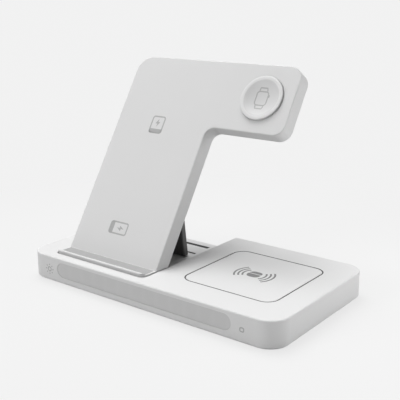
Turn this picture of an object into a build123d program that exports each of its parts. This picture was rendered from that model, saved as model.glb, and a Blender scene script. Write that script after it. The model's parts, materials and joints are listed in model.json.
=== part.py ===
from build123d import *
import math
import os

# Three in one wireless charger: a base with an earbud pad and a night light,
# and a folding stand that carries a phone and, on its side arm, a watch.
# Origin: middle of the base's footprint on the table. +X right, +Y back, +Z up. Millimetres.

# Base housing
base_width = 180.0
base_depth = 98.2
base_height = 15.7
base_corner = 12.0
base_wall = 2.0
base_roof = 2.0
top_edge = 0.9
bottom_edge = 0.9
cover_thickness = 1.8
cover_gap = 0.15
foot_proud = 0.5
foot_sunk = 0.8
foot_radius = 5.0
foot_inset_x = 24.0
foot_inset_y = 11.0
boss_radius = 3.0
boss_inset = 8.5
boss_inset_y = 11.0
screw_radius = 1.0
screw_length = 8.0
screw_head_radius = 2.1
screw_head_height = 0.9
screw_gap = 0.15

# Pocket in the base that takes the stand
pocket_depth = 9.1
pocket_front_margin = 6.6
pocket_corner = 4.0
pocket_side_gap = 0.85
pocket_wall = 2.0
pocket_front_wall = 1.2
pocket_floor = 1.6
strip_widths = (1.8, 3.0)
strip_margins = (21.0, 7.0)
strip_overlap = 1.5
strip_seat = 0.8
strip_sunk = 0.1
strip_gap = 0.1

# Night light in the front wall
lens_height = 9.1
lens_left_margin = 25.0
lens_right_margin = 27.5
lens_bottom_margin = 4.2
lens_gap = 0.1
lens_set_back = 0.15
lens_flange = 0.8
lens_flange_lap = 2.0
lens_flange_lap_below = 1.2
led_count = 12
led_end_margin = 10.95
led_width = 2.8
led_height = 3.5
led_thickness = 0.7
led_gap = 0.2
led_board_thickness = 0.8
led_board_height = 10.4
led_board_end = 6.0
touch_radius = 3.0
touch_thickness = 0.8
touch_height = 7.4
touch_from_lens = 6.9

# Earbud pad and what lies under it
pad_size = 59.5
pad_corner = 7.0
pad_thickness = 1.0
pad_gap = 0.8
seal_fit = 0.03
pad_front_margin = 19.95
pad_edge = 0.2
earbud_coil_outer = 20.0
earbud_coil_inner = 10.0
earbud_coil_thickness = 1.2
earbud_ferrite_radius = 22.0
earbud_ferrite_thickness = 1.0
board_boss_gap = 5.45
board_depth = 54.0
board_thickness = 1.6
board_back_gap = 0.6
board_rib_height = 1.5
board_rib_width = 3.0
board_rib_inset = 6.0

# Power inlet at the back
inlet_width = 8.94
inlet_height = 3.26
inlet_length = 7.4
inlet_wall = 0.3
inlet_corner = 1.5
inlet_depth = 6.2
inlet_sunk = 0.3
inlet_gap = 0.2
tongue_width = 6.7
tongue_height = 0.7
tongue_length = 5.2

# Folding stand
stand_tilt = 57.8
stand_width = 70.5
stand_thickness = 10.0
stand_length = 135.1
stand_from_left = 16.75
stand_corner = 11.0
arm_reach = 122.2
arm_height = 43.0
arm_top_corner = 8.5
arm_corner = 7.0
arm_inner_corner = 6.0
stand_wall = 2.0
stand_seat = 1.2
stand_front_wall = 2.0
stand_cover = 2.0
stand_cover_gap = 0.15
stand_edge = 0.7
stand_back_edge = 0.5
stand_foot_solid = 9.0
hinge_setback = 15.45
hinge_floor_gap = 0.5
hinge_pin_radius = 1.5
hinge_pin_in_base = 4.2
hinge_pin_in_stand = 8.0
hinge_boss_radius = 3.6
pin_seat_gap = 0.02
pin_run_gap = 0.05
pin_end_gap = 0.2
ledge_front_gap = 0.55
ledge_sunk = 0.6
ledge_nose = 1.4
ledge_lip = 2.1
ledge_lip_width = 1.2
ledge_dish = 3.6
ledge_floor = 0.6
ledge_root = 0.4
ledge_corner = 3.0
ledge_nose_depth = 1.0
ledge_nose_drop = 0.5

# Leg that props the stand
leg_top_width = 25.0
leg_foot_width = 34.0
leg_thickness = 4.2
leg_lean = 3.8
leg_pivot_up = 76.8
leg_inset = 0.3
leg_gap = 0.6
leg_floor_gap = 0.6
leg_edge = 0.5
leg_pin_radius = 1.0
leg_pin_in_boss = 3.6
leg_boss_length = 4.4
leg_boss_height = 6.0
leg_boss_depth = 4.9
leg_tub_wall = 1.2

# Charging pieces in the stand
phone_coil_outer = 19.0
phone_coil_inner = 9.5
phone_coil_thickness = 1.0
phone_coil_low = 38.0
phone_coil_pitch = 39.0
phone_ferrite_width = 40.0
phone_ferrite_margin = 1.0
phone_ferrite_thickness = 0.6
stand_board_width = 40.0
stand_board_height = 24.0
stand_board_thickness = 1.2
stand_board_drop = 10.0

# Watch puck on the arm
puck_radius = 13.8
puck_from_end = 20.9
puck_proud = 1.4
puck_rim = 1.5
puck_edge = 0.5
puck_dish = 1.1
puck_wall = 1.2
puck_flange = 1.5
puck_flange_thickness = 1.0
puck_gap = 0.15
watch_coil_inner = 6.0
watch_coil_thickness = 1.4
watch_coil_gap = 0.3
watch_magnet_radius = 5.5
watch_shield_thickness = 1.0

# Levels and places that follow from the sizes above
underside = foot_proud
base_top = foot_proud + base_height
roof_under = base_top - base_roof
cover_top = underside + cover_thickness
front = -base_depth / 2
back = base_depth / 2
left = -base_width / 2
right = base_width / 2
inner_front = front + base_wall
inner_back = back - base_wall

stand_x = left + stand_from_left + stand_width / 2
pocket_width = stand_width + 2 * pocket_side_gap
pocket_front = front + pocket_front_margin
pocket_floor_top = base_top - pocket_depth
pocket_right = stand_x + pocket_width / 2
half_thick = stand_thickness / 2
hinge_y = pocket_front + hinge_setback
hinge_z = pocket_floor_top + hinge_floor_gap + half_thick
tilt = math.radians(stand_tilt)
stand_plane = Plane(
    origin=(stand_x, hinge_y, hinge_z),
    x_dir=(1, 0, 0),
    z_dir=(0, -math.sin(tilt), math.cos(tilt)),
)

leg_pivot_in = leg_inset + leg_thickness / 2 - half_thick
leg_pivot = stand_plane.from_local_coords(Vector(0, leg_pivot_up, leg_pivot_in))
leg_length = leg_pivot.Z - pocket_floor_top - leg_floor_gap
leg_closed_turn = 90 - stand_tilt + leg_lean
leg_taper = (leg_foot_width - leg_top_width) / 2 / leg_length
leg_pin_reach = leg_top_width / 2 + leg_gap + leg_pin_in_boss
leg_slot_depth = leg_thickness + 2 * leg_inset
leg_slot_low = leg_pivot_up - leg_length - leg_gap
leg_slot_high = leg_pivot_up + leg_thickness / 2 + leg_gap

pad_x = (pocket_right + right) / 2
pad_y = front + pad_front_margin + pad_size / 2
lens_length = base_width - lens_left_margin - lens_right_margin
lens_x = left + lens_left_margin + lens_length / 2
lens_z = underside + lens_bottom_margin + lens_height / 2
board_width = 2 * (right - boss_inset - boss_radius - board_boss_gap - pad_x)
board_z = cover_top + board_rib_height
board_back = inner_back - board_back_gap
inlet_z = board_z + board_thickness + inlet_height / 2
puck_x = arm_reach - stand_width / 2 - puck_from_end
puck_y = stand_length - arm_height / 2
front_inner = half_thick - stand_front_wall


def facing_front(x, y, z):
    return Plane(origin=(x, y, z), x_dir=(1, 0, 0), z_dir=(0, -1, 0))


def along_x(x, y, z):
    return Plane(origin=(x, y, z), x_dir=(0, 1, 0), z_dir=(1, 0, 0))


def block(x0, x1, y0, y1, z0, z1):
    """A box between two corners."""
    size = (x1 - x0, y1 - y0, z1 - z0)
    return Pos((x0 + x1) / 2, (y0 + y1) / 2, (z0 + z1) / 2) * Box(*size)


def four_corners(inset_x, inset_y):
    for x in (left + inset_x, right - inset_x):
        for y in (front + inset_y, back - inset_y):
            yield x, y


def upright(radius, height, x, y, z):
    return Pos(x, y, z) * extrude(Circle(radius), height)


def pill(length, height, lap=0.0):
    """A stadium outline, grown by lap all round."""
    return SlotOverall(length + 2 * lap, height + 2 * lap)


def pocket_block(grow_side, grow_front, floor):
    """The pocket's plan with rounded front corners, from the floor up and out at the back."""
    width = pocket_width + 2 * grow_side
    length = base_depth
    plan = Rectangle(width, length)
    plan = fillet(plan.vertices().group_by(Axis.Y)[0], pocket_corner + grow_front)
    centre = pocket_front - grow_front + length / 2
    return Pos(stand_x, centre, floor) * extrude(plan, base_height)


def strip_blocks(lap, top):
    """The two grip strips in the pocket's floor, grown by lap, from their seats up to top."""
    half = leg_foot_width / 2 + strip_overlap + lap
    for width, margin in zip(strip_widths, strip_margins):
        middle = back - margin
        reach = width / 2 + lap
        yield block(
            stand_x - half, stand_x + half, middle - reach, middle + reach,
            pocket_floor_top - strip_seat, top,
        )


def lens_window(depth, lap):
    return extrude(facing_front(lens_x, front, lens_z) * pill(lens_length, lens_height, lap), -depth)


def pad_outline(lap):
    return RectangleRounded(pad_size + 2 * lap, pad_size + 2 * lap, pad_corner + lap)


def hinge_rods(radius, inner, outer):
    """The two short hinge axles' outline, from inner to outer distance off the stand's middle."""
    for side in (1, -1):
        near = along_x(stand_x + side * inner, hinge_y, hinge_z)
        yield extrude(near * Circle(radius), side * (outer - inner))


def inlet_outline(lap):
    return RectangleRounded(inlet_width + 2 * lap, inlet_height + 2 * lap, inlet_corner + lap)


def make_base_shell():
    body = extrude(RectangleRounded(base_width, base_depth, base_corner), base_height)
    body = fillet(body.faces().sort_by(Axis.Z)[-1].edges(), top_edge)
    body = chamfer(body.faces().sort_by(Axis.Z)[0].edges(), bottom_edge)
    body = Pos(0, 0, underside) * body
    inside = RectangleRounded(
        base_width - 2 * base_wall, base_depth - 2 * base_wall, base_corner - base_wall
    )
    cavity = Pos(0, 0, underside) * extrude(inside, base_height - base_roof)
    cavity -= pocket_block(pocket_wall, pocket_front_wall, pocket_floor_top - pocket_floor)
    boss_height = roof_under - cover_top
    for x, y in four_corners(boss_inset, boss_inset_y):
        cavity -= upright(boss_radius, boss_height, x, y, cover_top)
    wall_side = pocket_width / 2
    for boss in hinge_rods(hinge_boss_radius, wall_side, wall_side + hinge_pin_in_base + base_wall):
        cavity -= boss
    shell = body - cavity - pocket_block(0, 0, pocket_floor_top)
    for hole in hinge_rods(
        hinge_pin_radius + pin_seat_gap, wall_side, wall_side + hinge_pin_in_base + pin_end_gap
    ):
        shell -= hole
    for x, y in four_corners(boss_inset, boss_inset_y):
        shell -= upright(screw_radius + pin_seat_gap, screw_length, x, y, cover_top)
    for groove in strip_blocks(strip_gap, base_top):
        shell -= groove
    shell -= lens_window(base_wall, lens_gap)
    shell -= Pos(pad_x, pad_y, base_top - pad_thickness) * extrude(pad_outline(pad_gap), base_roof)
    mouth = facing_front(pad_x, back, inlet_z) * inlet_outline(inlet_gap)
    shell -= extrude(mouth, base_wall)
    return shell


def make_grip_strips():
    return list(strip_blocks(0, pocket_floor_top - strip_sunk))


def make_bottom_cover():
    inset = base_wall + cover_gap
    outline = RectangleRounded(
        base_width - 2 * inset, base_depth - 2 * inset, base_corner - inset
    )
    cover = Pos(0, 0, underside) * extrude(outline, cover_thickness)
    for x, y in four_corners(foot_inset_x, foot_inset_y):
        cover -= upright(foot_radius, foot_sunk, x, y, underside)
    for x, y in four_corners(boss_inset, boss_inset_y):
        cover -= upright(screw_head_radius + screw_gap, screw_head_height, x, y, underside)
        cover -= upright(screw_radius + screw_gap, cover_thickness, x, y, underside)
    for side in (-1, 1):
        middle = pad_x + side * (board_width / 2 - board_rib_inset)
        cover += block(
            middle - board_rib_width / 2, middle + board_rib_width / 2,
            board_back - board_depth, board_back, cover_top, board_z,
        )
    return cover


def make_rubber_feet():
    height = foot_proud + foot_sunk
    return [upright(foot_radius, height, x, y, 0) for x, y in four_corners(foot_inset_x, foot_inset_y)]


def make_cover_screws():
    screws = []
    for x, y in four_corners(boss_inset, boss_inset_y):
        head = upright(screw_head_radius, screw_head_height, x, y, underside)
        shank = upright(screw_radius, screw_length, x, y, underside)
        screws.append(head + shank)
    return screws


def make_light_lens():
    lens = extrude(
        facing_front(lens_x, front + lens_set_back, lens_z) * pill(lens_length, lens_height),
        lens_set_back - base_wall,
    )
    flange = block(
        lens_x - lens_length / 2 - lens_flange_lap, lens_x + lens_length / 2 + lens_flange_lap,
        inner_front, inner_front + lens_flange,
        lens_z - lens_height / 2 - lens_flange_lap_below, lens_z + lens_height / 2,
    )
    return lens + flange


led_front = inner_front + lens_flange + led_gap


def make_led_chips():
    first = lens_x - lens_length / 2 + led_end_margin
    pitch = (lens_length - 2 * led_end_margin) / (led_count - 1)
    chips = []
    for i in range(led_count):
        middle = first + i * pitch
        chips.append(block(
            middle - led_width / 2, middle + led_width / 2,
            led_front, led_front + led_thickness,
            lens_z - led_height / 2, lens_z + led_height / 2,
        ))
    return chips


def make_led_board():
    half = lens_length / 2 - led_board_end
    board_front = led_front + led_thickness
    return block(
        lens_x - half, lens_x + half, board_front, board_front + led_board_thickness,
        cover_top, cover_top + led_board_height,
    )


def make_touch_pads():
    reach = lens_length / 2 + touch_from_lens
    pads = []
    for x in (lens_x - reach, lens_x + reach):
        seat = facing_front(x, inner_front, underside + touch_height)
        pads.append(extrude(seat * Circle(touch_radius), -touch_thickness))
    return pads


def make_earbud_pad():
    pad = extrude(pad_outline(0), pad_thickness)
    pad = chamfer(pad.faces().sort_by(Axis.Z)[-1].edges(), pad_edge)
    return Pos(pad_x, pad_y, base_top - pad_thickness) * pad


def make_pad_seal():
    """The dark ring that fills the gap round the pad."""
    ring = pad_outline(pad_gap - seal_fit) - pad_outline(seal_fit)
    return Pos(pad_x, pad_y, base_top - pad_thickness) * extrude(ring, pad_thickness)


def make_earbud_coil():
    ring = Circle(earbud_coil_outer) - Circle(earbud_coil_inner)
    return Pos(pad_x, pad_y, roof_under - earbud_coil_thickness) * extrude(ring, earbud_coil_thickness)


def make_earbud_ferrite():
    top = roof_under - earbud_coil_thickness
    low = top - earbud_ferrite_thickness
    return upright(earbud_ferrite_radius, earbud_ferrite_thickness, pad_x, pad_y, low)


def make_main_board():
    return block(
        pad_x - board_width / 2, pad_x + board_width / 2,
        board_back - board_depth, board_back, board_z, board_z + board_thickness,
    )


def make_usb_shell():
    mouth = facing_front(pad_x, back - inlet_sunk, inlet_z)
    shell = extrude(mouth * inlet_outline(0), inlet_length)
    return shell - extrude(mouth * inlet_outline(-inlet_wall), inlet_depth)


def make_usb_tongue():
    root = facing_front(pad_x, back - inlet_sunk - inlet_depth, inlet_z)
    return extrude(root * Rectangle(tongue_width, tongue_height), -tongue_length)


def make_hinge_pins():
    inner = stand_width / 2 - hinge_pin_in_stand
    outer = pocket_width / 2 + hinge_pin_in_base
    return list(hinge_rods(hinge_pin_radius, inner, outer))


def stand_outline(inset=0.0, low=0.0):
    """The stand seen from the front, shrunk by inset, with its bottom edge at low."""
    x0 = -stand_width / 2 + inset
    x1 = stand_width / 2 - inset
    arm_end = arm_reach - stand_width / 2 - inset
    arm_low = stand_length - arm_height + inset
    top = stand_length - inset
    face = make_face(Polyline(
        (x0, low), (x1, low), (x1, arm_low), (arm_end, arm_low), (arm_end, top), (x0, top), close=True
    ))

    def rounded(face, x, y, radius):
        corner = face.vertices().sort_by_distance((x, y, 0))[0]
        return fillet(corner, radius)

    face = rounded(face, x0, top, stand_corner - inset)
    face = rounded(face, arm_end, top, arm_top_corner - inset)
    face = rounded(face, arm_end, arm_low, arm_corner - inset)
    return rounded(face, x1, arm_low, arm_inner_corner + inset)


def leg_plan(lap, low, high):
    """The leg's outline seen from the front, wider towards its foot, grown sideways by lap."""

    def half(up):
        return leg_top_width / 2 + (leg_pivot_up - up) * leg_taper + lap

    return make_face(Polyline(
        (-half(low), low), (half(low), low), (half(high), high), (-half(high), high), close=True
    ))


def leg_slot():
    """The space in the stand's back that the leg folds into."""
    plan = leg_plan(leg_gap, leg_slot_low, leg_slot_high)
    return Pos(0, 0, -half_thick) * extrude(plan, leg_slot_depth)


def make_ledge():
    """The phone's ledge: a dished shelf with a lip, running back into the hinge barrel."""
    nose_y = pocket_front + ledge_front_gap
    low = base_top - ledge_sunk
    nose_top = (nose_y, base_top + ledge_nose)
    crest = (nose_y + ledge_lip_width, base_top + ledge_lip)
    dish = (nose_y + ledge_dish, base_top + ledge_floor)
    outline = [
        Line((nose_y, low), nose_top),
        TangentArc(nose_top, crest, tangent=(0, 1)),
        TangentArc(dish, crest, tangent=(-1, 0)),
        Polyline(
            dish, (hinge_y, base_top + ledge_root), (hinge_y, hinge_z), (hinge_y - half_thick, hinge_z),
            (nose_y + ledge_nose_depth, low - ledge_nose_drop), (nose_y, low),
        ),
    ]
    shelf = extrude(along_x(stand_x - stand_width / 2, 0, 0) * make_face(outline), stand_width)
    length = hinge_y - nose_y
    plan = Rectangle(stand_width, length)
    plan = fillet(plan.vertices().group_by(Axis.Y)[0], ledge_corner)
    seen_from_above = Pos(stand_x, nose_y + length / 2, hinge_z - half_thick) * plan
    return shelf & extrude(seen_from_above, stand_thickness * 2)


def make_stand_front():
    plate = Pos(0, 0, -half_thick) * extrude(stand_outline(), stand_thickness)
    rim = plate.faces().sort_by(Axis.Z)[-1].edges()
    plate = fillet(rim.filter_by_position(Axis.Y, half_thick, stand_length), stand_edge)
    rim = plate.faces().sort_by(Axis.Z)[0].edges()
    plate = chamfer(rim.filter_by_position(Axis.Y, half_thick, stand_length), stand_back_edge)
    barrel = Pos(-stand_width / 2, 0, 0) * extrude(Plane.YZ * Circle(half_thick), stand_width)
    body = plate + barrel
    rebate = stand_outline(stand_wall, stand_foot_solid)
    hollow = stand_outline(stand_wall + stand_seat, stand_foot_solid + stand_seat)
    body -= Pos(0, 0, -half_thick) * extrude(rebate, stand_cover)
    body -= Pos(0, 0, -half_thick) * extrude(hollow, stand_thickness - stand_front_wall)
    body -= leg_slot()
    body -= Pos(puck_x, puck_y, 0) * extrude(Circle(puck_radius + puck_gap), stand_thickness)
    body = stand_plane * body + make_ledge()
    reach = stand_width / 2
    for bore in hinge_rods(hinge_pin_radius + pin_run_gap, reach - hinge_pin_in_stand - pin_end_gap, reach):
        body -= bore
    return body


def make_stand_back():
    inset = stand_wall + stand_cover_gap
    plate = extrude(stand_outline(inset, stand_foot_solid + stand_cover_gap), stand_cover)
    tub_low = stand_foot_solid + stand_seat + stand_cover_gap
    tub = leg_plan(leg_gap + leg_tub_wall, tub_low, leg_slot_high + leg_tub_wall)
    body = plate + extrude(tub, leg_slot_depth + leg_tub_wall)
    boss_out = leg_top_width / 2 + leg_gap + leg_boss_length
    body += block(
        -boss_out, boss_out,
        leg_pivot_up - leg_boss_height / 2, leg_pivot_up + leg_boss_height / 2, 0, leg_boss_depth,
    )
    body = Pos(0, 0, -half_thick) * body - leg_slot()
    reach = leg_pin_reach + pin_end_gap
    bore = Pos(-reach, leg_pivot_up, leg_pivot_in) * extrude(
        Plane.YZ * Circle(leg_pin_radius + pin_seat_gap), 2 * reach
    )
    return stand_plane * (body - bore)


def make_leg_pin():
    rod = extrude(Plane.YZ * Circle(leg_pin_radius), 2 * leg_pin_reach)
    return stand_plane * (Pos(-leg_pin_reach, leg_pivot_up, leg_pivot_in) * rod)


def make_leg():
    """A tapered leg hung on its pin, with a foot rounded about the pin so that it clears the floor."""
    shank = Pos(0, -leg_length) * Rectangle(leg_thickness, 2 * leg_length)
    section = (shank & Circle(leg_length)) + Circle(leg_thickness / 2)
    section -= Circle(leg_pin_radius + pin_run_gap)
    leg = extrude(along_x(stand_x - leg_foot_width / 2, 0, 0) * section, leg_foot_width)
    plan = leg_plan(0, leg_pivot_up - leg_length, leg_pivot_up + leg_thickness)
    leg &= extrude(facing_front(stand_x, leg_thickness, -leg_pivot_up) * plan, 2 * leg_thickness)
    leg = chamfer(leg.edges().filter_by(lambda edge: edge.length > 0.8 * leg_length), leg_edge)
    return Pos(0, leg_pivot.Y, leg_pivot.Z) * Rot(leg_lean, 0, 0) * leg


def flat_ring(outer, inner, thickness, x, y, front_face):
    return stand_plane * (
        Pos(x, y, front_face - thickness) * extrude(Circle(outer) - Circle(inner), thickness)
    )


def make_phone_coil(up):
    return flat_ring(phone_coil_outer, phone_coil_inner, phone_coil_thickness, 0, up, front_inner)


def make_phone_ferrite():
    low = phone_coil_low - phone_coil_outer - phone_ferrite_margin
    high = phone_coil_low + phone_coil_pitch + phone_coil_outer + phone_ferrite_margin
    top = front_inner - phone_coil_thickness
    return stand_plane * block(
        -phone_ferrite_width / 2, phone_ferrite_width / 2, low, high, top - phone_ferrite_thickness, top
    )


def make_stand_board():
    inside = stand_cover - half_thick
    high = stand_length - stand_board_drop
    return stand_plane * block(
        -stand_board_width / 2, stand_board_width / 2, high - stand_board_height, high,
        inside, inside + stand_board_thickness,
    )


puck_rim_top = half_thick + puck_proud
puck_seat = front_inner - puck_flange_thickness
puck_inside = puck_rim_top - puck_dish - puck_wall
watch_coil_outer = puck_radius - puck_wall - watch_coil_gap


def make_watch_puck():
    """A round puck with a raised rim and a dished face, hollow behind for its coil."""
    dish_edge = puck_radius - puck_rim
    dish_low = puck_rim_top - puck_dish
    outer = puck_radius + puck_flange
    inner = puck_radius - puck_wall
    outline = [
        TangentArc((0, dish_low), (dish_edge, puck_rim_top), tangent=(1, 0)),
        Polyline(
            (dish_edge, puck_rim_top), (puck_radius - puck_edge, puck_rim_top),
            (puck_radius, puck_rim_top - puck_edge), (puck_radius, front_inner),
            (outer, front_inner), (outer, puck_seat), (inner, puck_seat), (inner, puck_inside),
            (0, puck_inside), (0, dish_low),
        ),
    ]
    turned = revolve(Plane.XZ * make_face(outline), Axis.Z)
    return stand_plane * (Pos(puck_x, puck_y, 0) * turned)


def make_watch_coil():
    return flat_ring(watch_coil_outer, watch_coil_inner, watch_coil_thickness, puck_x, puck_y, puck_inside)


def make_watch_magnet():
    disc = extrude(Circle(watch_magnet_radius), watch_coil_thickness)
    return stand_plane * (Pos(puck_x, puck_y, puck_inside - watch_coil_thickness) * disc)


def make_watch_shield():
    top = puck_inside - watch_coil_thickness
    disc = extrude(Circle(watch_coil_outer), watch_shield_thickness)
    return stand_plane * (Pos(puck_x, puck_y, top - watch_shield_thickness) * disc)


nodes = {
    "base_shell": make_base_shell(),
    "grip_strips": make_grip_strips(),
    "bottom_cover": make_bottom_cover(),
    "rubber_feet": make_rubber_feet(),
    "cover_screws": make_cover_screws(),
    "light_lens": make_light_lens(),
    "led_chips": make_led_chips(),
    "led_board": make_led_board(),
    "touch_pads": make_touch_pads(),
    "earbud_pad": make_earbud_pad(),
    "pad_seal": make_pad_seal(),
    "earbud_coil": make_earbud_coil(),
    "earbud_ferrite": make_earbud_ferrite(),
    "main_board": make_main_board(),
    "usb_shell": make_usb_shell(),
    "usb_tongue": make_usb_tongue(),
    "hinge_pins": make_hinge_pins(),
    "stand_front": make_stand_front(),
    "stand_back": make_stand_back(),
    "leg": make_leg(),
    "leg_pin": make_leg_pin(),
    "phone_coil_lower": make_phone_coil(phone_coil_low),
    "phone_coil_upper": make_phone_coil(phone_coil_low + phone_coil_pitch),
    "phone_ferrite": make_phone_ferrite(),
    "stand_board": make_stand_board(),
    "watch_puck": make_watch_puck(),
    "watch_coil": make_watch_coil(),
    "watch_magnet": make_watch_magnet(),
    "watch_shield": make_watch_shield(),
}

os.makedirs("parts", exist_ok=True)
for name, shape in nodes.items():
    export_step(Compound(shape) if isinstance(shape, list) else shape, f"parts/{name}.step")

print("hinge axis", round(hinge_y, 3), round(hinge_z, 3))
print("leg pivot", round(leg_pivot.Y, 3), round(leg_pivot.Z, 3), "closes by", round(leg_closed_turn, 2))
print("pocket floor", round(pocket_floor_top, 3), "base top", base_top, "stand middle", stand_x)
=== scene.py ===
import json
import math
import bmesh
import bpy
from mathutils import Matrix, Vector
from mathutils.bvhtree import BVHTree


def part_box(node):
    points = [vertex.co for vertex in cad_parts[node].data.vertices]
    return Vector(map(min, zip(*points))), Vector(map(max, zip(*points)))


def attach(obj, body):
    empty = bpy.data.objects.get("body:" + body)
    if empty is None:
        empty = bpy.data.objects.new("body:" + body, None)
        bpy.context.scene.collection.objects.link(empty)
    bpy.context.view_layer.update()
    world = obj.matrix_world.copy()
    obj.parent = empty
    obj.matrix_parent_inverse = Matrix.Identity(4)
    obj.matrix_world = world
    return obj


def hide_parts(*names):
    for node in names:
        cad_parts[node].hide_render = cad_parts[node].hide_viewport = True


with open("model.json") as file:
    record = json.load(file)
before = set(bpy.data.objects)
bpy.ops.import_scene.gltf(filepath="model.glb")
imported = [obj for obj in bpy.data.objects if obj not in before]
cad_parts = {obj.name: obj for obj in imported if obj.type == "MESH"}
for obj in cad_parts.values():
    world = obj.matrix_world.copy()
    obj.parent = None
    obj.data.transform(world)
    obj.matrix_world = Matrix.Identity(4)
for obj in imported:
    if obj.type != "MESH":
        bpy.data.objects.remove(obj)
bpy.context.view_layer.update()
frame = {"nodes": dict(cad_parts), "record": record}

mm = 0.001
nodes = frame["nodes"]
mounts = {mount["name"]: mount for mount in frame["record"]["mounts"]}
scene = bpy.context.scene
print("frame loaded:", len(nodes), "nodes")

# sockets of a Mix node that mixes colours
mixShare, mixFirst, mixSecond, mixResult = 0, 6, 7, 2


def grey(level):
    return (level, level, level)


def opaque(colour):
    return (*colour, 1)


class Wire:
    # an output socket; a sum on it adds a Math node
    def __init__(self, paint, socket):
        self.paint = paint
        self.socket = socket

    def math(self, operation, first, second):
        return self.paint.add("ShaderNodeMath", {"operation": operation}, {0: first, 1: second})

    def __add__(self, other):
        return self.math("ADD", self, other)

    def __radd__(self, other):
        return self.math("ADD", other, self)

    def __sub__(self, other):
        return self.math("SUBTRACT", self, other)

    def __rsub__(self, other):
        return self.math("SUBTRACT", other, self)

    def __mul__(self, other):
        return self.math("MULTIPLY", self, other)

    def __rmul__(self, other):
        return self.math("MULTIPLY", other, self)

    def __truediv__(self, other):
        return self.math("DIVIDE", self, other)

    def __rtruediv__(self, other):
        return self.math("DIVIDE", other, self)

    def __gt__(self, other):
        return self.math("GREATER_THAN", self, other)

    def __or__(self, other):
        return self.math("MAXIMUM", self, other)


class Paint:
    # the node tree of one material or world
    def __init__(self, owner):
        owner.use_nodes = True
        self.owner = owner
        self.tree = owner.node_tree
        self.tree.nodes.clear()

    def add(self, kind, settings=None, inputs=None, out=0):
        node = self.tree.nodes.new(kind)
        for key, value in (settings or {}).items():
            setattr(node, key, value)
        for key, value in (inputs or {}).items():
            if isinstance(value, Wire):
                self.tree.links.new(value.socket, node.inputs[key])
            else:
                node.inputs[key].default_value = value
        if isinstance(out, tuple):
            return [Wire(self, node.outputs[name]) for name in out]
        return Wire(self, node.outputs[out]) if node.outputs else node

    def place(self):
        # where on the piece, in millimetres
        spot = self.add("ShaderNodeTexCoord", out="Object")
        return self.add("ShaderNodeVectorMath", {"operation": "SCALE"}, {0: spot, "Scale": 1 / mm})

    def noise(self, spot, perMm, detail=3.0):
        inputs = {"Vector": spot, "Scale": perMm, "Detail": detail}
        return self.add("ShaderNodeTexNoise", None, inputs)

    def blend(self, share, first, second):
        inputs = {mixShare: share, mixFirst: opaque(first), mixSecond: opaque(second)}
        return self.add("ShaderNodeMix", {"data_type": "RGBA"}, inputs, mixResult)

    def dim(self, tone, where, share):
        # the tone times the share, as far as the mask says
        times = {"data_type": "RGBA", "blend_type": "MULTIPLY"}
        inputs = {mixShare: where, mixFirst: tone, mixSecond: opaque(grey(share))}
        return self.add("ShaderNodeMix", times, inputs, mixResult)

    def soften(self, tone, share):
        # bounced light sees the tone dimmer, so inner corners keep their shade
        return self.dim(tone, self.add("ShaderNodeLightPath", out="Is Diffuse Ray"), share)

    def reach(self, spot, middle, axis):
        # how far from an axis, in millimetres
        away = self.add("ShaderNodeVectorMath", {"operation": "SUBTRACT"}, {0: spot, 1: middle})
        flat = self.add("ShaderNodeVectorMath", {"operation": "CROSS_PRODUCT"}, {0: away, 1: axis})
        return self.add("ShaderNodeVectorMath", {"operation": "LENGTH"}, {0: flat}, "Value")

    def bump(self, height, deep, strength):
        inputs = {"Height": height, "Distance": deep * mm, "Strength": strength}
        return self.add("ShaderNodeBump", None, inputs)

    def finish(self, shader):
        isWorld = isinstance(self.owner, bpy.types.World)
        kind = "ShaderNodeOutputWorld" if isWorld else "ShaderNodeOutputMaterial"
        self.add(kind, None, {"Surface": shader})
        return self.owner

    def surface(self, inputs):
        return self.finish(self.add("ShaderNodeBsdfPrincipled", None, inputs))


bounceShare = 0.35
plasticIor = 1.49
noiseMiddle = 0.5


def newPaint(name):
    return Paint(bpy.data.materials.new(name))


def uneven(middle, grain, span):
    # a value that swings about its middle with the grain
    return middle + (grain - noiseMiddle) * span


mouldedLook = {
    "driftShare": 0.6, "driftDetail": 2.0, "driftGloss": 0.06,
    "grainDetail": 4.0, "grainGloss": 0.16, "strength": 0.3,
}


def moulded(name, look, shade=None):
    # moulded plastic or rubber: broad drift in colour, fine spark texture in gloss and height
    paint = newPaint(name)
    spot = paint.place()
    drift = paint.noise(spot, look["driftPerMm"], mouldedLook["driftDetail"])
    fine = paint.noise(spot, look["grainPerMm"], mouldedLook["grainDetail"])
    share = drift * mouldedLook["driftShare"] + fine * (1 - mouldedLook["driftShare"])
    tone = paint.blend(share, grey(look["dark"]), grey(look["light"]))
    if shade:
        tone = shade(paint, spot, tone)
    rough = uneven(look["rough"], fine, mouldedLook["grainGloss"])
    return paint.surface({
        "Base Color": paint.soften(tone, bounceShare),
        "Roughness": uneven(rough, drift, mouldedLook["driftGloss"]),
        "Normal": paint.bump(fine, look["grainDeep"], mouldedLook["strength"]),
        "IOR": plasticIor,
        "Specular IOR Level": look["sheen"],
    })


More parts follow.
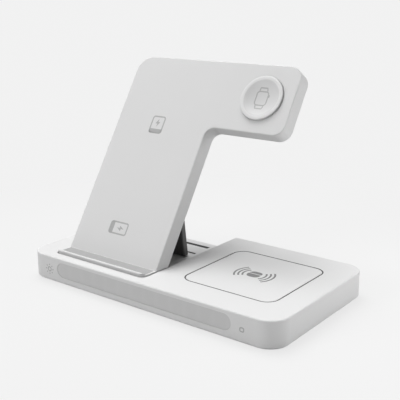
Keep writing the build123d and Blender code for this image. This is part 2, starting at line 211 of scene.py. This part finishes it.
whiteLook = {
    "light": 0.74, "dark": 0.71, "rough": 0.6, "sheen": 0.25,
    "grainPerMm": 3.2, "grainDeep": 0.02, "driftPerMm": 0.03,
}
padLook = {
    "light": 0.74, "dark": 0.72, "rough": 0.55, "sheen": 0.25,
    "grainPerMm": 5.0, "grainDeep": 0.01, "driftPerMm": 0.04,
}
puckLook = {
    "light": 0.75, "dark": 0.73, "rough": 0.4, "sheen": 0.4,
    "grainPerMm": 6.0, "grainDeep": 0.006, "driftPerMm": 0.06,
}
charcoalLook = {
    "light": 0.15, "dark": 0.115, "rough": 0.5, "sheen": 0.4,
    "grainPerMm": 3.0, "grainDeep": 0.03, "driftPerMm": 0.05,
}
rubberLook = {
    "light": 0.05, "dark": 0.03, "rough": 0.8, "sheen": 0.3,
    "grainPerMm": 2.0, "grainDeep": 0.05, "driftPerMm": 0.2,
}
sealLook = {
    "light": 0.1, "dark": 0.07, "rough": 0.7, "sheen": 0.3,
    "grainPerMm": 3.0, "grainDeep": 0.03, "driftPerMm": 0.2,
}

lensLook = {
    "light": 0.62, "dark": 0.57, "lampShare": 0.2, "lampHalf": 0.3,
    "rough": 0.4, "roughSpan": 0.2, "frostPerMm": 7.0, "frostDeep": 0.02, "strength": 0.2,
}


def frostedLens():
    # grey diffuser; the lamps behind it show as faint pale spots
    chips = nodes["led_chips"].data.vertices
    sides = sorted({round(vertex.co.x / mm, 2) for vertex in chips})
    first = (sides[0] + sides[1]) / 2
    pitch = sides[2] - sides[0]
    print("lens lit by", len(sides) // 2, "lamps,", round(pitch, 2), "mm apart")
    paint = newPaint("frostedLens")
    spot = paint.place()
    # how far along from the nearest lamp, in pitches
    along = paint.add("ShaderNodeSeparateXYZ", None, {0: spot}, "X")
    step = (along - first) / pitch + 0.5
    phase = paint.add("ShaderNodeMath", {"operation": "FRACT"}, {0: step})
    off = paint.add("ShaderNodeMath", {"operation": "ABSOLUTE"}, {0: phase - 0.5})
    lit = paint.add("ShaderNodeMapRange", {"interpolation_type": "SMOOTHSTEP"}, {
        "Value": off, "From Min": 0.0, "From Max": lensLook["lampHalf"], "To Min": 1.0, "To Max": 0.0,
    })
    frost = paint.noise(spot, lensLook["frostPerMm"])
    share = lit * lensLook["lampShare"] + frost * (1 - lensLook["lampShare"])
    return paint.surface({
        "Base Color": paint.blend(share, grey(lensLook["dark"]), grey(lensLook["light"])),
        "Roughness": uneven(lensLook["rough"], frost, lensLook["roughSpan"]),
        "Normal": paint.bump(frost, lensLook["frostDeep"], lensLook["strength"]),
        "IOR": plasticIor,
    })


inkLook = {"coverPerMm": 4.0, "detail": 4.0, "rough": 0.5, "roughSpan": 0.3}


def printed(name, light, dark):
    # screen printed ink, a little uneven where it covers the grain
    paint = newPaint(name)
    cover = paint.noise(paint.place(), inkLook["coverPerMm"], inkLook["detail"])
    return paint.surface({
        "Base Color": paint.blend(cover, grey(dark), grey(light)),
        "Roughness": uneven(inkLook["rough"], cover, inkLook["roughSpan"]),
    })


steelLook = {
    "light": 0.66, "dark": 0.5, "rough": 0.3, "roughSpan": 0.2,
    "stretch": (0.6, 9.0, 9.0), "linesPerMm": 1.2, "lineDeep": 0.01, "strength": 0.2,
}


def drawnSteel():
    # fine draw lines along the part's width
    paint = newPaint("drawnSteel")
    stretched = {"Vector": paint.place(), "Scale": steelLook["stretch"]}
    lines = paint.noise(paint.add("ShaderNodeMapping", None, stretched), steelLook["linesPerMm"])
    return paint.surface({
        "Base Color": paint.blend(lines, grey(steelLook["dark"]), grey(steelLook["light"])),
        "Metallic": 1.0,
        "Roughness": uneven(steelLook["rough"], lines, steelLook["roughSpan"]),
        "Normal": paint.bump(lines, steelLook["lineDeep"], steelLook["strength"]),
    })


copperLook = {
    "light": (0.74, 0.36, 0.2), "dark": (0.34, 0.14, 0.06), "rough": 0.34, "roughSpan": 0.2,
    "wire": 0.4, "turnShare": 0.6, "turnDeep": 0.2, "strength": 0.6, "lacquerPerMm": 2.0,
}


def woundCopper(node, axis):
    # turns of lacquered wire, in rings round the coil's middle
    low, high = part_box(node)
    middle = (low + high) / 2 / mm
    paint = newPaint("copper_" + node)
    spot = paint.place()
    wire = copperLook["wire"]
    away = paint.reach(spot, middle, axis)
    turns = paint.add("ShaderNodeMath", {"operation": "PINGPONG"}, {0: away, 1: wire}) / wire
    lacquer = paint.noise(spot, copperLook["lacquerPerMm"])
    share = turns * copperLook["turnShare"] + lacquer * (1 - copperLook["turnShare"])
    return paint.surface({
        "Base Color": paint.blend(share, copperLook["dark"], copperLook["light"]),
        "Metallic": 1.0,
        "Roughness": uneven(copperLook["rough"], lacquer, copperLook["roughSpan"]),
        "Normal": paint.bump(turns, copperLook["turnDeep"], copperLook["strength"]),
    })


ferriteLook = {
    "light": 0.1, "dark": 0.05, "rough": 0.6, "roughSpan": 0.3,
    "speckPerMm": 5.0, "detail": 5.0, "speckDeep": 0.03, "strength": 0.3,
}


def sinteredFerrite():
    paint = newPaint("sinteredFerrite")
    speck = paint.noise(paint.place(), ferriteLook["speckPerMm"], ferriteLook["detail"])
    return paint.surface({
        "Base Color": paint.blend(speck, grey(ferriteLook["dark"]), grey(ferriteLook["light"])),
        "Roughness": uneven(ferriteLook["rough"], speck, ferriteLook["roughSpan"]),
        "Normal": paint.bump(speck, ferriteLook["speckDeep"], ferriteLook["strength"]),
    })


boardLook = {
    "light": (0.04, 0.22, 0.1), "dark": (0.02, 0.13, 0.06), "rough": 0.34, "roughSpan": 0.14,
    "pourPerMm": 0.22, "pourFrom": 0.4, "pourShare": 0.7,
    "weavePerMm": 4.0, "detail": 2.0, "weaveDeep": 0.02, "strength": 0.3,
}


def greenBoard():
    # solder mask over copper pours and a faint glass weave
    paint = newPaint("greenBoard")
    spot = paint.place()
    cells = {"Vector": spot, "Scale": boardLook["pourPerMm"]}
    pour = paint.add("ShaderNodeTexVoronoi", {"distance": "CHEBYCHEV"}, cells) > boardLook["pourFrom"]
    weave = paint.noise(spot, boardLook["weavePerMm"], boardLook["detail"])
    share = pour * boardLook["pourShare"] + weave * (1 - boardLook["pourShare"])
    return paint.surface({
        "Base Color": paint.blend(share, boardLook["dark"], boardLook["light"]),
        "Roughness": uneven(boardLook["rough"], weave, boardLook["roughSpan"]),
        "Normal": paint.bump(weave, boardLook["weaveDeep"], boardLook["strength"]),
    })


resinLook = {
    "light": (0.9, 0.8, 0.42), "dark": (0.78, 0.66, 0.26), "rough": 0.3, "roughSpan": 0.1,
    "cloudPerMm": 1.6,
}


def lampResin():
    paint = newPaint("lampResin")
    cloud = paint.noise(paint.place(), resinLook["cloudPerMm"])
    return paint.surface({
        "Base Color": paint.blend(cloud, resinLook["dark"], resinLook["light"]),
        "Roughness": uneven(resinLook["rough"], cloud, resinLook["roughSpan"]),
    })


xRight = Vector((1, 0, 0))
yBack = Vector((0, 1, 0))
zUp = Vector((0, 0, 1))
panelOut = Vector(mounts["phone_rest"]["axis"])
panelUp = panelOut.cross(xRight)


def planeAt(at, right, up):
    # from a face's own directions to the part's
    return Matrix.Translation(at) @ Matrix((right, up, right.cross(up))).transposed().to_4x4()


# the watch puck: a flat rim round a bowl for the watch's back

# bowlShadeShare sets how far the painted shade dims the bowl
puckShape = {
    "rim": 11.4, "deep": 1.7, "bow": 2.3, "edge": 0.5, "edgeReach": 1.5, "near": 0.01,
    "edgeSteps": 4, "rings": 14, "sides": 96, "sharpDeg": 35, "bowlShadeShare": 0.875,
}
puckMount = mounts["watch_rest"]
puckPlace = planeAt(puckMount["pos_m"], xRight, panelUp)


def puckBowlShade(paint, spot, tone):
    # painted shade: the bowl is drawn a little darker than its rim, as shade in the hollow
    onRim = paint.reach(spot, Vector(puckMount["pos_m"]) / mm, panelOut) > puckShape["rim"]
    return paint.dim(tone, 1 - onRim, puckShape["bowlShadeShare"])


finishes = {
    moulded("mouldedWhite", whiteLook): ["base_shell", "bottom_cover", "stand_front", "stand_back"],
    moulded("smoothInlay", padLook): ["earbud_pad"],
    # the puck's bowl carries painted shade
    moulded("satinPuck", puckLook, puckBowlShade): ["watch_puck"],
    moulded("charcoal", charcoalLook): ["leg", "usb_tongue"],
    moulded("darkRubber", rubberLook): ["rubber_feet", "grip_strips"],
    moulded("sealRubber", sealLook): ["pad_seal"],
    frostedLens(): ["light_lens"],
    drawnSteel(): ["cover_screws", "usb_shell", "hinge_pins", "leg_pin", "watch_magnet"],
    sinteredFerrite(): ["earbud_ferrite", "phone_ferrite", "watch_shield"],
    greenBoard(): ["led_board", "main_board", "stand_board"],
    lampResin(): ["led_chips"],
    woundCopper("earbud_coil", zUp): ["earbud_coil"],
    woundCopper("phone_coil_lower", panelOut): ["phone_coil_lower"],
    woundCopper("phone_coil_upper", panelOut): ["phone_coil_upper"],
    woundCopper("watch_coil", panelOut): ["watch_coil"],
    woundCopper("touch_pads", yBack): ["touch_pads"],
}
for finish, members in finishes.items():
    for member in members:
        materials = nodes[member].data.materials
        materials.clear()
        materials.append(finish)
print("finishes set on", sum(len(members) for members in finishes.values()), "nodes")


def arc(radius, fromDeg, toDeg, atX=0.0, atY=0.0, steps=16):
    turns = [math.radians(fromDeg + (toDeg - fromDeg) * i / steps) for i in range(steps + 1)]
    return [(atX + radius * math.cos(turn), atY + radius * math.sin(turn)) for turn in turns]


def puckProfile():
    # radius and height above the rim's plane, from the bowl outwards and down to the hollow behind
    rim, deep, edge, near = (puckShape[key] for key in ("rim", "deep", "edge", "near"))
    flat = [puckPlace.inverted() @ vertex.co / mm for vertex in nodes["watch_puck"].data.vertices]
    circles = [(math.hypot(spot.x, spot.y), spot.z) for spot in flat]
    wide = max(r for r, high in circles if high > -edge * puckShape["edgeReach"])
    flange = max(r for r, high in circles)
    shoulder = max(high for r, high in circles if r > wide + edge)
    seat = min(high for r, high in circles)
    inner = min(r for r, high in circles if high < seat + near)
    ceiling = max(high for r, high in circles if abs(r - inner) < near and high < -deep)
    radii = [rim * i / puckShape["rings"] for i in range(1, puckShape["rings"] + 1)]
    profile = [(r, deep * ((r / rim) ** puckShape["bow"] - 1)) for r in radii]
    profile += arc(edge, 90, 0, wide - edge, -edge, puckShape["edgeSteps"])
    return profile + [(wide, shoulder), (flange, shoulder), (flange, seat), (inner, seat), (inner, ceiling)]


def turnedPuck():
    profile, sides = puckProfile(), puckShape["sides"]
    turns = [2 * math.pi * k / sides for k in range(sides)]
    spots = [(0, 0, -puckShape["deep"])]
    for r, high in profile:
        spots += [(r * math.cos(turn), r * math.sin(turn), high) for turn in turns]
    faces = [(0, 1 + k, 1 + (k + 1) % sides) for k in range(sides)]
    for i in range(len(profile) - 1):
        inner, outer = 1 + i * sides, 1 + (i + 1) * sides
        for k in range(sides):
            after = (k + 1) % sides
            faces.append((inner + k, outer + k, outer + after, inner + after))
    last = 1 + (len(profile) - 1) * sides
    faces.append([last + k for k in reversed(range(sides))])
    data = bpy.data.meshes.new("watch_puck_turned")
    data.from_pydata(spots, [], faces)
    data.transform(puckPlace @ Matrix.Scale(mm, 4))
    data.shade_smooth()
    data.set_sharp_from_angle(angle=math.radians(puckShape["sharpDeg"]))
    data.materials.append(nodes["watch_puck"].data.materials[0])
    piece = bpy.data.objects.new("watch_puck_turned", data)
    scene.collection.objects.link(piece)
    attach(piece, "stand")
    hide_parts("watch_puck")
    return data


puckMesh = turnedPuck()
print("puck turned")

# signs: thin printed strokes and fills that lie on a piece's own faces

ink = {"above": 0.02, "below": 0.04, "step": 0.8, "castFrom": 4.0}
paleInk = printed("paleInk", 0.46, 0.4)
deepInk = printed("deepInk", 0.2, 0.15)
cornerSteps = 6


def roundBox(wide, tall, corner, atX=0.0, atY=0.0):
    path = []
    for sideX, sideY, start in ((1, 1, 0), (-1, 1, 90), (-1, -1, 180), (1, -1, 270)):
        middleX = atX + sideX * (wide / 2 - corner)
        middleY = atY + sideY * (tall / 2 - corner)
        path += arc(corner, start, start + 90, middleX, middleY, cornerSteps)
    return path


def moved(path, dx, dy):
    return [(x + dx, y + dy) for x, y in path]


class Sign:
    # one sign, drawn in millimetres in the plane of the face that carries it
    def __init__(self, name, mesh, body, at, right, up, finish, slot="printed_ink"):
        self.name, self.body, self.finish, self.slot = name, body, finish, slot
        self.place = planeAt(at, right, up)
        self.out = right.cross(up)
        spots = [vertex.co for vertex in mesh.vertices]
        self.face = BVHTree.FromPolygons(spots, [polygon.vertices for polygon in mesh.polygons])
        self.mesh = bmesh.new()

    def height(self, x, y):
        # where the face lies under this point
        above = ink["castFrom"]
        start = self.place @ Vector((x * mm, y * mm, above * mm))
        return above - self.face.ray_cast(start, -self.out)[3] / mm

    def pair(self, x, y):
        rest = self.height(x, y)
        return [self.mesh.verts.new((x, y, rest + lift)) for lift in (ink["above"], -ink["below"])]

    def fill(self, path):
        pairs = [self.pair(x, y) for x, y in path]
        self.mesh.faces.new([top for top, low in pairs])
        self.mesh.faces.new([low for top, low in reversed(pairs)])
        for (topA, lowA), (topB, lowB) in zip(pairs, pairs[1:] + pairs[:1]):
            self.mesh.faces.new((topB, topA, lowA, lowB))

    def stroke(self, path, width, closed=False):
        path = self.even(path + path[:1] if closed else path)
        if closed:
            path.pop()
        count = len(path)
        rings = []
        for i, (x, y) in enumerate(path):
            before = path[i - 1] if closed or i else path[i]
            after = path[(i + 1) % count] if closed or i < count - 1 else path[i]
            along = Vector((after[0] - before[0], after[1] - before[1])).normalized() * width / 2
            left = self.pair(x - along.y, y + along.x)
            right = self.pair(x + along.y, y - along.x)
            rings.append([left[0], right[0], right[1], left[1]])
        for a, b in zip(rings, rings[1:] + (rings[:1] if closed else [])):
            for k in range(4):
                self.mesh.faces.new((a[k], b[k], b[(k + 1) % 4], a[(k + 1) % 4]))
        if not closed:
            self.mesh.faces.new(rings[0])
            self.mesh.faces.new(list(reversed(rings[-1])))

    def even(self, path):
        # short steps, so that a stroke follows a dished face
        out = [path[0]]
        for x, y in path[1:]:
            fromX, fromY = out[-1]
            parts = math.ceil(math.dist((x, y), (fromX, fromY)) / ink["step"])
            for i in range(1, parts + 1):
                out.append((fromX + (x - fromX) * i / parts, fromY + (y - fromY) * i / parts))
        return out

    def lay(self):
        bmesh.ops.recalc_face_normals(self.mesh, faces=self.mesh.faces)
        data = bpy.data.meshes.new(self.name)
        self.mesh.to_mesh(data)
        self.mesh.free()
        data.transform(self.place @ Matrix.Scale(mm, 4))
        data.materials.append(self.finish)
        piece = bpy.data.objects.new(self.name, data)
        scene.collection.objects.link(piece)
        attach(piece, self.body)


def onPanel(name, acrossMm, upMm):
    at = Vector(mounts["phone_rest"]["pos_m"]) + xRight * acrossMm * mm + panelUp * upMm * mm
    return Sign(name, nodes["stand_front"].data, "stand", at, xRight, panelUp, paleInk)


def bolt(long, wide):
    half = [(0.1, 0.5), (-0.5, -0.1), (-0.05, -0.1)]
    return [(x * wide, y * long) for x, y in half + [(-x, -y) for x, y in half]]


uprightPhone = {
    "across": -2.2, "up": 49.2, "wide": 9.4, "tall": 10.8, "corner": 1.4, "chin": 2.6, "bolt": (5.6, 3.4),
}
sidewaysPhone = {
    "across": -2.85, "up": -19.5, "wide": 7.2, "tall": 13.4, "corner": 1.2, "chin": 2.8, "bolt": (5.6, 3.4),
}
phoneLine = 0.9
chinCorner = 0.5


def phoneSign(name, look, spin):
    sign = onPanel(name, look["across"], look["up"])
    wide, tall, chin = look["wide"], look["tall"], look["chin"]
    sign.stroke(spin(roundBox(wide, tall, look["corner"])), phoneLine, closed=True)
    sign.fill(spin(roundBox(wide, chin, chinCorner, 0, (chin - tall) / 2)))
    sign.fill(spin(moved(bolt(*look["bolt"]), 0, chin / 2)))
    sign.lay()


phoneSign("sign_phone_upright", uprightPhone, list)
phoneSign("sign_phone_sideways", sidewaysPhone, lambda path: [(y, -x) for x, y in path])

watchLook = {
    "across": -0.4, "wide": 7.6, "tall": 8.6, "corner": 1.8, "line": 0.75,
    "strap": 5.4, "strapEnd": 4.4, "strapLong": 2.2, "crown": (0.7, 1.8, 0.3), "crownUp": 1.6,
}


def watchSign():
    at = Vector(puckMount["pos_m"]) + xRight * watchLook["across"] * mm
    sign = Sign("sign_watch", puckMesh, "stand", at, xRight, panelUp, paleInk)
    wide, tall, line = watchLook["wide"], watchLook["tall"], watchLook["line"]
    sign.stroke(roundBox(wide, tall, watchLook["corner"]), line, closed=True)
    root, end = watchLook["strap"] / 2, watchLook["strapEnd"] / 2
    near, far = tall / 2 + line / 2, tall / 2 + watchLook["strapLong"]
    for side in (1, -1):
        strap = [(-root, side * near), (-end, side * far), (end, side * far), (root, side * near)]
        sign.stroke(strap, line)
    sign.fill(roundBox(*watchLook["crown"], wide / 2 + line, watchLook["crownUp"]))
    sign.lay()


watchSign()

earbudLook = {
    "case": (8.2, 8.4), "corner": 3.0, "lidFoot": 0.1, "seam": 0.8,
    "waves": (6.9, 9.3, 11.7), "spread": 41, "line": 1.1,
}


def earbudSign():
    # a case with its lid line, between two sets of waves
    at = Vector(mounts["earbud_rest"]["pos_m"])
    sign = Sign("sign_earbuds", nodes["earbud_pad"].data, "base", at, xRight, yBack, deepInk)
    wide, tall = earbudLook["case"]
    corner, spread = earbudLook["corner"], earbudLook["spread"]
    side, top = wide / 2, tall / 2
    lidLow = top - corner - earbudLook["lidFoot"]
    lid = arc(corner, 0, 90, side - corner, top - corner, cornerSteps)
    lid += arc(corner, 90, 180, corner - side, top - corner, cornerSteps)
    sign.fill(lid + [(-side, lidLow), (side, lidLow)])
    cupHigh = top - corner - earbudLook["seam"]
    cup = arc(corner, 180, 270, corner - side, corner - top, cornerSteps)
    cup += arc(corner, 270, 360, side - corner, corner - top, cornerSteps)
    sign.fill([(side, cupHigh), (-side, cupHigh)] + cup)
    for radius in earbudLook["waves"]:
        for facing in (0, 180):
            sign.stroke(arc(radius, facing - spread, facing + spread), earbudLook["line"])
    sign.lay()


earbudSign()

wallLook = {
    "sun": 1.3, "sunSides": 24, "rays": 8, "rayReach": (2.4, 3.3), "line": 0.65,
    "frame": (2.3, 2.1, 0.7), "inset": 3.0,
}
touchLow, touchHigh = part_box("touch_pads")


def onWall(name, x):
    at = Vector((x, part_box("base_shell")[0].y, (touchLow.z + touchHigh.z) / 2))
    return Sign(name, nodes["base_shell"].data, "base", at, xRight, zUp, paleInk)


def sunSign():
    sign = onWall("sign_light", touchLow.x + wallLook["inset"] * mm)
    sides, rays = wallLook["sunSides"], wallLook["rays"]
    disc = arc(wallLook["sun"], 0, 360 - 360 / sides, steps=sides - 1)
    sign.stroke(disc, wallLook["line"], closed=True)
    for i in range(rays):
        way = math.radians(360 * i / rays)
        ray = [(r * math.cos(way), r * math.sin(way)) for r in wallLook["rayReach"]]
        sign.stroke(ray, wallLook["line"])
    sign.lay()


def frameSign():
    sign = onWall("sign_touch", touchHigh.x - wallLook["inset"] * mm)
    sign.stroke(roundBox(*wallLook["frame"]), wallLook["line"], closed=True)
    sign.lay()


sunSign()
frameSign()
print("signs printed")

# painted shade: a grey strip laid in the valley behind the ledge's lip, darker as that valley's shade

ledgeShadeLook = {
    "light": 0.42, "dark": 0.36, "rough": 0.7, "sheen": 0.25,
    "grainPerMm": 3.0, "grainDeep": 0.03, "driftPerMm": 0.2,
}
ledgeShadeShape = {"behind": 7.0, "wide": 8.4, "short": 1.2, "foot": 18.0}


def ledgeShadeStrip():
    stand = nodes["stand_front"].data
    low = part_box("stand_front")[0]
    joints = frame["record"]["behaviour"]["joints"]
    hinge = next(joint for joint in joints if joint["name"] == "stand_hinge")
    middle = hinge["pos_m"][0]
    half = (middle - low.x) / mm - ledgeShadeShape["short"]
    at = Vector((middle, low.y + ledgeShadeShape["behind"] * mm, ledgeShadeShape["foot"] * mm))
    # the strip's grey stands in for the valley's shade
    shadeFinish = moulded("paintedLedgeShade", ledgeShadeLook)
    strip = Sign("ledge_shade_strip", stand, "stand", at, xRight, yBack, shadeFinish, "seal_rubber")
    strip.stroke([(-half, 0), (half, 0)], ledgeShadeShape["wide"])
    strip.lay()


ledgeShadeStrip()
print("ledge strip laid")

# camera at the photo's view

cameraLook = {
    "at": (0.26526, -0.33977, 0.17316), "down": 15.622, "turn": 37.385,
    "focalPx": 762.77, "imagePx": 400,
}
cameraData = bpy.data.cameras.new("camera")
cameraData.lens = cameraLook["focalPx"] / cameraLook["imagePx"] * cameraData.sensor_width
camera = bpy.data.objects.new("camera", cameraData)
camera.location = cameraLook["at"]
camera.rotation_euler = (math.radians(90 - cameraLook["down"]), 0, math.radians(cameraLook["turn"]))
scene.collection.objects.link(camera)
scene.camera = camera

# a pale room: what the eye sees of it is one tone, with the object's shadow kept on the floor

roomLook = {
    "tone": 0.884, "floor": 0.86, "bounce": 0.66, "fill": 0.02, "half": 6.0,
    "shadow": 0.16, "fadeFrom": 0.13, "fadeTo": 0.27,
}


def isSeen(paint):
    rays = ("Is Camera Ray", "Is Glossy Ray", "Is Transmission Ray")
    eye, mirror, glass = paint.add("ShaderNodeLightPath", out=rays)
    return eye | mirror | glass


def paleFloor():
    paint = newPaint("paleFloor")
    spot = paint.add("ShaderNodeTexCoord", out="Object")
    reach = paint.add("ShaderNodeVectorMath", {"operation": "LENGTH"}, {0: spot}, "Value")
    shadow = paint.add("ShaderNodeMapRange", None, {
        "Value": reach, "From Min": roomLook["fadeFrom"], "From Max": roomLook["fadeTo"],
        "To Min": roomLook["shadow"], "To Max": 0.0,
    })
    sheet = paint.soften(opaque(grey(roomLook["floor"])), roomLook["bounce"])
    lit = paint.add("ShaderNodeBsdfDiffuse", None, {"Color": sheet})
    even = paint.add("ShaderNodeEmission", None, {"Color": opaque(grey(roomLook["tone"]))})
    share = isSeen(paint) * (1 - shadow)
    return paint.finish(paint.add("ShaderNodeMixShader", None, {0: share, 1: lit, 2: even}))


half = roomLook["half"]
floorCorners = [(-half, -half, 0), (half, -half, 0), (half, half, 0), (-half, half, 0)]
floorMesh = bpy.data.meshes.new("floor")
floorMesh.from_pydata(floorCorners, [], [(0, 1, 2, 3)])
floorMesh.materials.append(paleFloor())
floor = bpy.data.objects.new("floor", floorMesh)
scene.collection.objects.link(floor)

scene.world = bpy.data.worlds.new("paleRoom")
room = Paint(scene.world)
dim = room.add("ShaderNodeBackground", None, {"Strength": roomLook["fill"]})
pale = room.add("ShaderNodeBackground", None, {"Color": opaque(grey(roomLook["tone"]))})
room.finish(room.add("ShaderNodeMixShader", None, {0: isSeen(room), 1: dim, 2: pale}))

# softboxes: compass angle from +X, height angle, reach and side in metres, watts
lamps = {
    "overLeft": (180, 72, 1.15, 0.8, 5.85),
    "overBack": (120, 72, 1.15, 0.8, 5.55),
    "left": (150, 60, 1.15, 0.8, 4.25),
    "lowFrontLeft": (250, 20, 1.15, 0.5, 5.15),
    "nearRight": (20, 8, 0.34, 0.12, 0.385),
    "nearFront": (330, 8, 0.34, 0.12, 0.075),
}
aimHigh = 0.05
for name, (compass, high, reach, side, watts) in lamps.items():
    data = bpy.data.lights.new(name, "AREA")
    data.size = side
    data.energy = watts
    turn = Matrix.Rotation(math.radians(compass), 4, "Z") @ Matrix.Rotation(math.radians(90 - high), 4, "Y")
    lamp = bpy.data.objects.new(name, data)
    lamp.matrix_world = Matrix.Translation((0, 0, aimHigh)) @ turn @ Matrix.Translation((0, 0, reach))
    lamp.visible_camera = False
    scene.collection.objects.link(lamp)
scene.view_settings.view_transform = "Standard"
print("room lit by", len(lamps), "softboxes")
